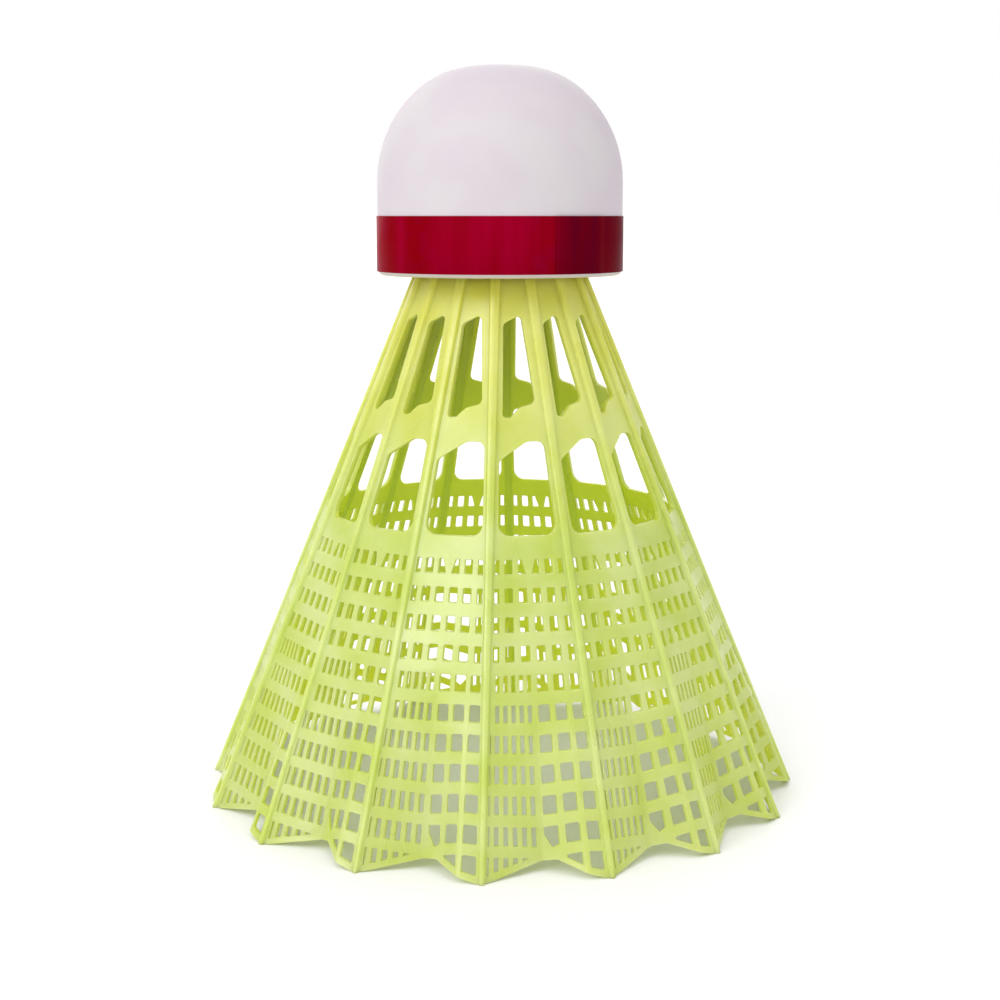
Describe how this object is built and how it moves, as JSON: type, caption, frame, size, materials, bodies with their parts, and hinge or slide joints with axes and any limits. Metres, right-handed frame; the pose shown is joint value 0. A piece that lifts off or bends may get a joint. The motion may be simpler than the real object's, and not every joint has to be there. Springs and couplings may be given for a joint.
{
  "type": "badminton shuttlecock",
  "caption": "Training shuttlecock: rounded covered cork head with a coloured band, on a ribbed, windowed and meshed conical nylon skirt with a scalloped rim.",
  "frame": {"origin": "on the shuttlecock's axis, in the plane of the skirt tips it stands on", "axes": "+Z along the axis towards the nose, -Y through the crest of one rib"},
  "size_m": [0.066, 0.066, 0.079],
  "materials": {
    "cork": "natural cork, matte and granular",
    "coated_skin": "soft satin coated skin, near white",
    "band_film": "glossy deep red film",
    "nylon": "satin, slightly see-through yellow-green nylon",
    "adhesive": "clear honey-coloured cured glue"
  },
  "bodies": {
    "root": {"cork_core": "cork", "head_cover": "coated_skin", "speed_band": "band_film", "skirt": "nylon", "plug_adhesive": "adhesive"}
  },
  "joints": []
}
